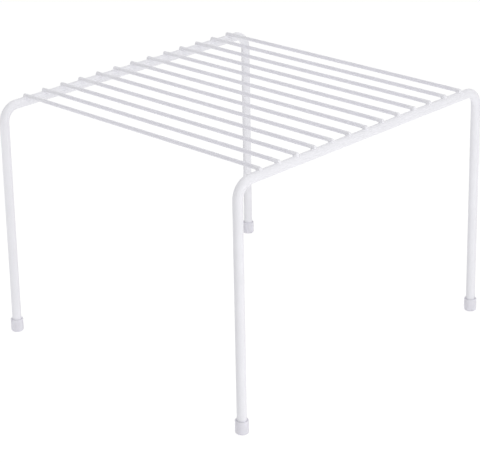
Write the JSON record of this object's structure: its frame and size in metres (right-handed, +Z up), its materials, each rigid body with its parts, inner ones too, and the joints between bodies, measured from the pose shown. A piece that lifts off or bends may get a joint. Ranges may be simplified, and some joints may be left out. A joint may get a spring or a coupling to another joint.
{
  "type": "closet shelf organizer",
  "caption": "Free-standing coated wire shelf riser: cross wires welded onto bent-rod side frames with push-on foot caps, giving a closet shelf a raised second level.",
  "frame": {"origin": "on the floor, under the middle of the deck", "axes": "+X along the deck wires from the left frame to the right, +Y along the rails from front to back, +Z up"},
  "size_m": [0.2512, 0.2728, 0.1881],
  "materials": {
    "coated_steel": "glossy white plastic coating on steel rod and wire, a little uneven",
    "foot_vinyl": "soft satin milky white vinyl"
  },
  "bodies": {
    "root": {"left_side_frame": "coated_steel", "right_side_frame": "coated_steel", "deck_wire_01": "coated_steel", "deck_wire_02": "coated_steel", "deck_wire_03": "coated_steel", "deck_wire_04": "coated_steel", "deck_wire_05": "coated_steel", "deck_wire_06": "coated_steel", "deck_wire_07": "coated_steel", "deck_wire_08": "coated_steel", "deck_wire_09": "coated_steel", "deck_wire_10": "coated_steel", "deck_wire_11": "coated_steel", "deck_wire_12": "coated_steel", "deck_wire_13": "coated_steel", "foot_cap_front_left": "foot_vinyl", "foot_cap_front_right": "foot_vinyl", "foot_cap_back_left": "foot_vinyl", "foot_cap_back_right": "foot_vinyl"}
  },
  "joints": []
}
